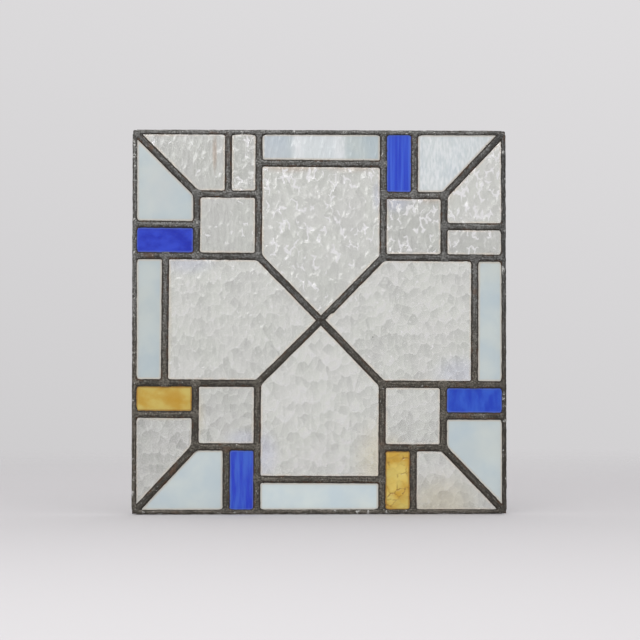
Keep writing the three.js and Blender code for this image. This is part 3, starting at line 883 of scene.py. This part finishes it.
LEAD_OVERLAP = 0.7 * MM  # how far a lead's end runs into the one it meets
MITRE_SPARE = 5 * MM  # how far a border lead runs past its corner before the mitre is cut
SLANTED_DARK = 0.27  # how much darker the slanted leads are than the others
# How much darker some leads are than the others; below 0 is brighter. The right border's darkening is
# painted shade and the top border's brightening a painted highlight.
OWN_DARK_AND_PAINTED_LIGHT = {"star_lead_lower_left": 0.42, "border_lead_top": -0.15, "border_lead_bottom": -0.05,
            "border_lead_right": 0.08}


def is_slanted(run):
    """Whether a direction is neither nearly level nor nearly upright."""
    return min(abs(run.x), abs(run.y)) > 0.3 * run.length


def make_leads():
    """The inner leads and the four sides of the border."""
    tree = lead_tree()
    inner, border = came_section(), border_section()
    came = lead_finish("tinned_lead", (0.0, 0.0, 0.0), 0.70)
    edging = lead_finish("tinned_border_lead", (5.0, 2.0, 1.0), 0.61)
    common = {
        "Bend Radius": 5 * MM, "Step": 1.3 * MM, "Wander": 0.7 * MM, "Dents": 0.75 * MM, "Swell": 0.25,
    }
    for number, node in enumerate(sorted(inner_leads)):
        slanted = is_slanted(crown_lines[node][-1] - crown_lines[node][0])
        dark = OWN_DARK_AND_PAINTED_LIGHT.get(node, SLANTED_DARK if slanted else 0.0)
        values = {**common, "Section": inner, "Seed": number, "Material": came, "Dark": dark}
        start = spine(node, crown_lines[node], CUT_GAP + LEAD_OVERLAP)
        piece = grow(node + "_lead", start, tree, values)
        if node == "star_lead_upper_right":
            cut_back_flange(piece.data, crown_lines[node])
        settle_lead(piece, node)
    for number, (node, (start, end)) in enumerate(border_sides.items()):
        values = {**common, "Section": border, "Seed": 50 + number, "Material": edging,
                  "Wander": 0.5 * MM, "Dents": 0.8 * MM, "Swell": 0.0, "Dark": OWN_DARK_AND_PAINTED_LIGHT.get(node, 0.0)}
        piece = grow(node + "_lead", spine(node, [start, end], MITRE_SPARE), tree, values)
        along = (end - start).normalized()
        inward = Vector((-along.y, along.x))
        cut_mitre(piece, start, -along - inward)
        cut_mitre(piece, end, along - inward)
        round_corners(piece.data)
        settle_lead(piece, node)
    for section in (inner, border):
        bpy.data.objects.remove(section)
    return came


# ---- Solder ---------------------------------------------------------------------------------

SAME_PLACE = 1 * MM  # a lead whose end comes this near another's middle line meets it
CORNER_NEAR = 6 * MM  # and one that ends this near a panel corner meets that
JOINT_APART = 4 * MM  # joints nearer than this to each other are one
ARM_NEAR = 5.5 * MM  # a lead that passes this near a joint's middle is part of it
ARM_AHEAD = 7 * MM  # and its first stop beyond this gives its direction
SAME_HEADING = 0.97  # the cosine above which two directions are one


def all_lines():
    """Every lead's middle line with half its width."""
    lines = [(stops, CAME_HALF) for stops in crown_lines.values()]
    return lines + [(list(side), BORDER_HALF) for side in border_sides.values()]


def nearest_on(line, point):
    """The place on a line nearest a point, the piece of the line it is on, and how far away it is."""
    best = None
    for i, (start, end) in enumerate(zip(line, line[1:])):
        run = end - start
        share = max(0.0, min(1.0, (point - start).dot(run) / run.length_squared))
        place = start + run * share
        if best is None or (place - point).length < best[2]:
            best = (place, i, (place - point).length)
    return best


def joint_hub(line, end, before):
    """The middle of the joint at one end of a lead: a panel corner, or a place on the lead it meets."""
    for corner in PANEL_CORNERS:
        if (corner - end).length < CORNER_NEAR:
            return corner
    onward = (end - before).normalized()
    found = []
    for other, half in all_lines():
        for reach in (0, half + CUT_GAP):
            place, _, away = nearest_on(other, end + onward * reach)
            if other != line and away < SAME_PLACE:
                at_end = min((place - other[0]).length, (place - other[-1]).length) < SAME_PLACE
                found.append((at_end, away, tuple(place)))
    return Vector(min(found)[2])


def joint_hubs():
    """Where the leads meet, each place once."""
    hubs = []
    for line in crown_lines.values():
        for end, before in ((line[0], line[1]), (line[-1], line[-2])):
            hub = joint_hub(line, end, before)
            if all((hub - other).length > JOINT_APART for other in hubs):
                hubs.append(hub)
    return hubs


def joint_arms(hub):
    """The directions in which leads leave a joint, each with half the lead's width."""
    arms = []
    for line, half in all_lines():
        place, i, away = nearest_on(line, hub)
        if away > ARM_NEAR:
            continue
        for stop in (line[: i + 1][::-1], line[i + 1:]):
            ahead = [s for s in stop if (s - hub).length > ARM_AHEAD]
            if ahead:
                heading = (ahead[0] - place).normalized()
                if all(heading.dot(other) < SAME_HEADING for other, _ in arms):
                    arms.append((heading, half))
    return arms


SOLDER_REACH = 10 * MM  # how far solder runs along a lead from the joint's middle
SOLDER_SWELL = (0.0 * MM, 0.4 * MM)  # how far solder spreads beside a lead, at least and at most
SOLDER_PROUD = 0.12 * MM  # and how far it stands above the lead's crown there
SOLDER_TAPER = 1.2 * MM  # what half its width loses from TAPER_START to SOLDER_REACH along a lead
TAPER_START = 5.5 * MM
SOLDER_SINK = 0.5 * MM  # how far its crown has sunk by SOLDER_REACH
SOLDER_BUMP = 0.03 * MM  # its small unevenness
SOLDER_WAVE = 0.05 * MM  # and how high each of four slow waves stands on it
WAVE_SCALE = 1.6 * MM  # one over it is the spread of their wave numbers
EDGE_INSET = 0.5 * MM  # how far solder stays inside the panel's outer edge
SOLDER_FILLET = 2.2 * MM
CROSSING_FILLET = 1.0 * MM  # where four leads meet, the corners are nearly sharp
CROSSING_WAIST = 0.5 * MM  # how much narrower than the leads the solder is there
KNOT = 3.2 * MM  # half the size of the dark knot there
SOLDER_LIP = 1.75 * MM


def ease(value, start, end):
    """From 0 to 1 while value goes from start to end, on an array."""
    share = np.clip((value - start) / (end - start), 0, 1)
    return share * share * (3 - 2 * share)


def solder_edge(points, hub, arms, back):
    """How far points round a joint are outside its solder.

    An arm starts back behind the joint's middle and narrows along its lead. The corners between arms are
    filled round, and nothing passes the panel's outer edge.
    """
    strips = []
    for heading, half, swell in arms:
        along = points @ np.array(heading)
        across = np.abs(points @ np.array((-heading.y, heading.x)))
        width = half + swell - SOLDER_TAPER * ease(along, TAPER_START, SOLDER_REACH)
        strips.append(np.max((across - width, -back - along, along - SOLDER_REACH), axis=0))
    edge = np.min(strips, axis=0)
    fillet = SOLDER_FILLET if len(arms) < 4 else CROSSING_FILLET
    for i, (heading, _, _) in enumerate(arms):
        for j in range(i):
            if heading.dot(arms[j][0]) > -0.8:
                rest = np.maximum(fillet - np.stack((strips[i], strips[j])), 0)
                outside = np.maximum(fillet, np.minimum(strips[i], strips[j]))
                edge = np.minimum(edge, outside - np.hypot(*rest))
    places = points + np.array(hub)
    inset = np.min((places[:, 0] - panel_left, panel_right - places[:, 0],
                    places[:, 1] - panel_bottom, panel_top - places[:, 1]), axis=0)
    return np.maximum(edge, EDGE_INSET - inset)


def disc_faces(rings, spokes, back):
    """Faces of a domed disc of rings round a middle point, closed by a cone to a point behind it."""
    faces = []
    for k in range(spokes):
        after = (k + 1) % spokes
        faces.append((0, 1 + k, 1 + after))
        for ring in range(rings - 1):
            a, b = 1 + ring * spokes, 1 + (ring + 1) * spokes
            faces.append((a + k, b + k, b + after, a + after))
        outer = 1 + (rings - 1) * spokes
        faces.append((outer + k, back, outer + after))
    return faces


def solder_face(hub, arms, front, rng, rings=7, spokes=60):
    """One face of a soldered joint: a low dome that fills the corners and sinks into each lead."""
    angles = np.linspace(0, 2 * math.pi, spokes, endpoint=False)
    rays = np.stack([np.cos(angles), np.sin(angles)], axis=1)
    low, high = np.full(spokes, 1.0 * MM), np.full(spokes, 14 * MM)
    for _ in range(18):
        middle = (low + high) / 2
        inside = solder_edge(rays * middle[:, None], hub, arms, 2 * MM) < 0
        low, high = np.where(inside, middle, low), np.where(inside, high, middle)
    points = [np.zeros(2)]
    for ring in range(1, rings + 1):
        points.extend(rays * (low * math.sin(0.5 * math.pi * ring / rings))[:, None])
    points = np.array(points)
    inward = np.clip(-solder_edge(points, hub, arms, 5 * MM) / CAME_HALF, 0, 1)
    crown = LEAD_CROWN + SOLDER_PROUD - SOLDER_LIP
    sink = ease(np.linalg.norm(points, axis=1), 2.5 * MM, SOLDER_REACH)
    bumps = rng.normal(0, SOLDER_BUMP, len(points))
    for _ in range(4):
        wave = rng.normal(0, 1 / WAVE_SCALE, 2)
        bumps = bumps + SOLDER_WAVE * np.sin(points @ wave + rng.uniform(0, 6.3))
    heights = SOLDER_LIP + crown * (1 - (1 - inward) ** 2.1) ** 0.48 - sink * SOLDER_SINK + bumps * inward
    verts = [(hub.x + x, -front * h, hub.y + z) for (x, z), h in zip(points, heights)]
    verts.append((hub.x, -front * (SOLDER_LIP - 0.6 * MM), hub.y))
    rims = (1 - inward) ** 1.5
    if len(arms) > 3:
        rims = np.maximum(rims, 1 - ease(np.linalg.norm(points, axis=1), 1 * MM, KNOT))
    rims = list(rims) + [1.0]
    return verts, rims, disc_faces(rings, spokes, len(verts) - 1)


def make_solder(material):
    """The soldered joints on both faces, in one piece."""
    rng = np.random.default_rng(7)
    verts, faces, rims, darks = [], [], [], []
    for hub in joint_hubs():
        arms = [(heading, half, rng.uniform(*SOLDER_SWELL)) for heading, half in joint_arms(hub)]
        if len(arms) > 3:
            arms = [(heading, half - CROSSING_WAIST, 0.0) for heading, half, _ in arms]
        for front in (1, -1):
            more, rim, discs = solder_face(hub, arms, front, rng)
            faces.extend(tuple(len(verts) + i for i in face) for face in discs)
            verts.extend(more)
            rims.extend(rim)
            slanted = sum(is_slanted(heading) for heading, _, _ in arms) / len(arms)
            darks.extend([SLANTED_DARK * slanted] * len(rim))
    mesh = bpy.data.meshes.new("solder_joints")
    mesh.from_pydata(verts, [], faces)
    places = np.array(verts)
    along, across = places[:, 0] * 5, places[:, 2]
    for name, values in (("rim", rims), ("dark", darks), ("along", along), ("across", across)):
        mesh.attributes.new(name, "FLOAT", "POINT").data.foreach_set("value", values)
    mesh.materials.append(material)
    round_corners(mesh)
    face_outwards(mesh)
    mesh.shade_smooth()
    mesh.set_sharp_from_angle(angle=math.radians(60))
    piece = to_scene("solder_joints", mesh)
    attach(piece, "root")


CRUMB_SPACING = 5 * MM  # along a lead, on average
CRUMB_SIZE = 0.45 * MM  # half a crumb's width before each is made longer or flatter
CRUMB_DEPTH = 1.75 * MM  # from the middle of the panel's depth, just above the glass


def crumb_tree():
    """A small flattened lump at each point, each turned and sized its own way."""
    tree, given = shape_tree("crumbs", {"Size": "Float", "Seed": "Int", "Material": "Material"})
    lump = put(tree, "GeometryNodeMeshIcoSphere", {"Radius": given["Size"], "Subdivisions": 2}).outputs[0]
    turn = put(tree, "FunctionNodeRandomValue",
               {0: (0.0, -3.1, 0.0), 1: (0.0, 3.1, 0.0), "Seed": given["Seed"]},
               data_type="FLOAT_VECTOR").outputs[0]
    scale = put(tree, "FunctionNodeRandomValue",
                {0: (0.5, 0.7, 0.5), 1: (1.9, 1.1, 1.1), "Seed": given["Seed"]},
                data_type="FLOAT_VECTOR").outputs[0]
    points = put(tree, "GeometryNodeMeshToPoints", {"Mesh": given["Geometry"]}).outputs[0]
    lumps = put(tree, "GeometryNodeInstanceOnPoints",
                {"Points": points, "Instance": lump, "Rotation": turn, "Scale": scale}).outputs[0]
    pick = put(tree, "FunctionNodeRandomValue", {"Seed": given["Seed"]}, data_type="FLOAT").outputs[1]
    lumps = put(tree, "GeometryNodeStoreNamedAttribute",
                {"Geometry": lumps, "Name": "cement", "Value": ramp(tree, pick, 0.2, 0.3)},
                data_type="FLOAT", domain="INSTANCE").outputs[0]
    smooth = put(tree, "GeometryNodeSetShadeSmooth", {"Geometry": lumps})
    end_tree(tree, smooth.outputs[0], given["Material"])
    return tree


def make_crumbs(material):
    """Crumbs of old cement and spatters of solder along the leads' edges, more of them near the joints."""
    rng = np.random.default_rng(23)
    places = []
    for stops in crown_lines.values():
        for start, end in zip(stops, stops[1:]):
            run = end - start
            side = Vector((-run.y, run.x)).normalized()
            for _ in range(round(run.length / CRUMB_SPACING)):
                out = rng.choice((-1, 1)) * (CAME_HALF + rng.uniform(-0.25, 0.3) * MM)
                spot = start + run * rng.beta(0.6, 0.6) + side * out
                places.append((spot.x, rng.choice((-1, 1)) * CRUMB_DEPTH, spot.y))
    mesh = bpy.data.meshes.new("crumbs_start")
    mesh.from_pydata(places, [], [])
    crumbs = grow("cement_crumbs", mesh, crumb_tree(), {"Size": CRUMB_SIZE, "Seed": 5, "Material": material})
    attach(crumbs, "root")


# ---- Studio ---------------------------------------------------------------------------------

FLOOR_RADIUS = 3.0
FLOOR_FADE = (0.5, 2.9)  # how far from its middle the floor starts to fade, and is gone
FLOOR_DROP = 0.4 * MM  # how far it is below the panel


def make_floor():
    """A pale floor under the panel that fades into the room round it."""
    sheet = bmesh.new()
    bmesh.ops.create_circle(sheet, cap_ends=True, segments=96, radius=FLOOR_RADIUS)
    bmesh.ops.translate(sheet, verts=sheet.verts[:], vec=(0, 0, panel_bottom - FLOOR_DROP))
    mesh = bpy.data.meshes.new("studio_floor")
    sheet.to_mesh(mesh)
    sheet.free()
    material, tree, shader, place = finish("pale_floor")
    shader.inputs["Base Color"].default_value = (0.57, 0.56, 0.566, 1)
    shader.inputs["Roughness"].default_value = 0.9
    away = reckon_vector(tree, "LENGTH", place)
    clear = put(tree, "ShaderNodeBsdfTransparent").outputs[0]
    fade = ramp(tree, away, *FLOOR_FADE)
    mixed = put(tree, "ShaderNodeMixShader", {0: fade, 1: shader.outputs[0], 2: clear})
    tree.links.new(mixed.outputs[0], tree.nodes["Material Output"].inputs["Surface"])
    mesh.materials.append(material)
    floor = to_scene("studio_floor", mesh)


ROOM_LEVEL = 0.642
ROOM_ABOVE = 0.42  # how much brighter it is straight up
ROOM_RIGHT = 0.10  # and to the right
ROOM_AHEAD = 0.28  # and, in front of the panel, towards the upper left


def make_room():
    """A pale room, brighter above than below, and brightest in front of the panel at the upper left."""
    world = bpy.data.worlds.new("pale_room")
    bpy.context.scene.world = world
    world.use_nodes = True
    tree = world.node_tree
    direction = put(tree, "ShaderNodeTexCoord").outputs["Generated"]
    apart = split(tree, direction)
    level = reckon(tree, "MULTIPLY_ADD", apart[2], ROOM_ABOVE, ROOM_LEVEL)
    level = reckon(tree, "MULTIPLY_ADD", apart[0], ROOM_RIGHT, level)
    ahead = ramp(tree, apart[1], -0.8, -0.1, 1.0, 0.0)
    aside = reckon(tree, "MULTIPLY", reckon(tree, "SUBTRACT", apart[2], apart[0]), ROOM_AHEAD)
    level = reckon(tree, "MULTIPLY_ADD", ahead, aside, level)
    tone = dim(tree, (1.0, 0.985, 1.0), level)
    tree.links.new(tone, tree.nodes["Background"].inputs["Color"])


def make_light(name, place, width, height, power):
    """A soft rectangular light turned towards the middle of the panel."""
    lamp = bpy.data.lights.new(name, "AREA")
    lamp.shape = "RECTANGLE"
    lamp.size, lamp.size_y, lamp.energy = width, height, power
    light = to_scene(name, lamp)
    light.location = place
    target = Vector((PANEL_MIDDLE.x, 0, PANEL_MIDDLE.y))
    light.rotation_euler = (target - Vector(place)).to_track_quat("-Z", "Y").to_euler()
    light.visible_camera = False


CAMERA_TURN, CAMERA_RISE = -1.6, -2.07  # degrees to the right of square on, and above it
CAMERA_DISTANCE = 2.135
CAMERA_LENS = 120.0  # in millimetres


def make_camera():
    """A long lens almost square on to the front, a little to its left and below its middle."""
    middle = Vector(((panel_left + panel_right) / 2, 0.0, (panel_bottom + panel_top) / 2))
    target = middle + Vector((0.5 * MM, 0, 1.6 * MM))
    turn, rise = math.radians(CAMERA_TURN), math.radians(CAMERA_RISE)
    away = Vector((math.sin(turn) * math.cos(rise), -math.cos(turn) * math.cos(rise), math.sin(rise)))
    lens = bpy.data.cameras.new("camera")
    lens.lens = CAMERA_LENS
    camera = to_scene("camera", lens)
    camera.location = target + away * CAMERA_DISTANCE
    camera.rotation_euler = (-away).to_track_quat("-Z", "Y").to_euler()
    bpy.context.scene.camera = camera


make_camera()
make_panes()
lead_material = make_leads()
make_solder(lead_material)
make_crumbs(lead_material)
make_floor()
make_room()
make_light("window_light", (-0.42, -1.75, 0.93), width=0.8, height=0.5, power=8.0)
make_light("ceiling_light", (0.3, -1.9, 1.6), width=1.6, height=0.9, power=7.0)
bpy.context.scene.view_settings.view_transform = "Standard"
